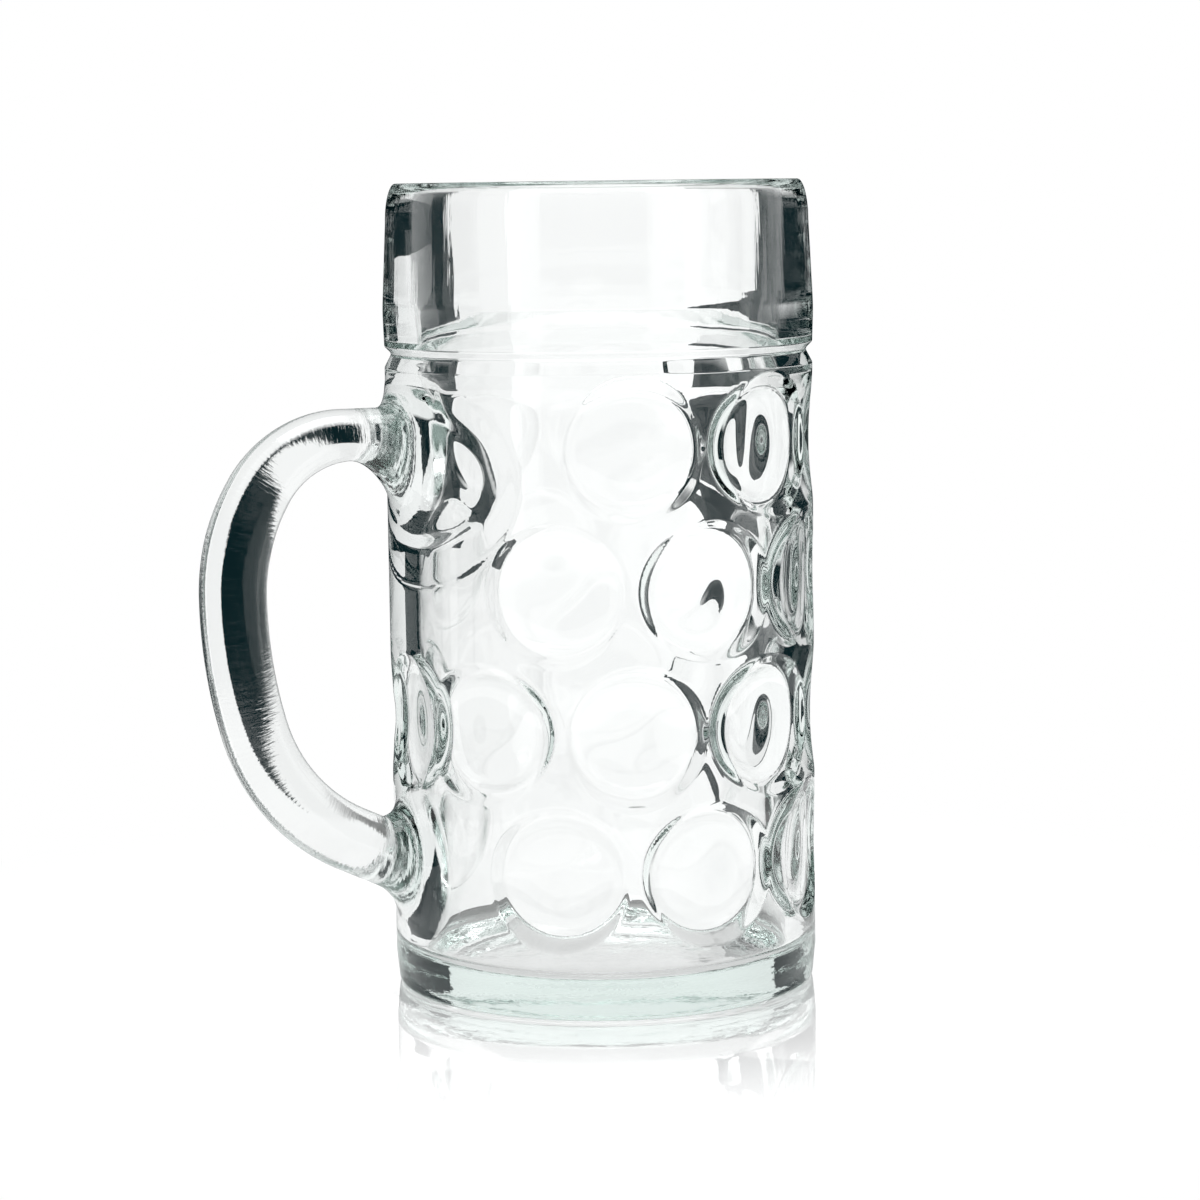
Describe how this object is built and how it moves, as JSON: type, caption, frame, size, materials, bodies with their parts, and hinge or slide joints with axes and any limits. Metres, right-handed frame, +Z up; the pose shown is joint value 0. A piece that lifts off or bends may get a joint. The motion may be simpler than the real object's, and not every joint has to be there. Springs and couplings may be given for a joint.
{
  "type": "glass beer mug",
  "caption": "Tall clear glass beer mug with a dimpled cylindrical wall, plain rim band above a groove, thick foot and a round loop handle.",
  "frame": {"origin": "centre of the foot, on the plane that the mug stands on", "axes": "+Z up along the axis of the cup, -X towards the handle"},
  "size_m": [0.1612, 0.1086, 0.203],
  "materials": {
    "clear_glass": "clear soda-lime glass, fire polished, faint green tint in thick sections"
  },
  "bodies": {
    "root": {"glass_body": "clear_glass", "handle": "clear_glass"}
  },
  "joints": []
}
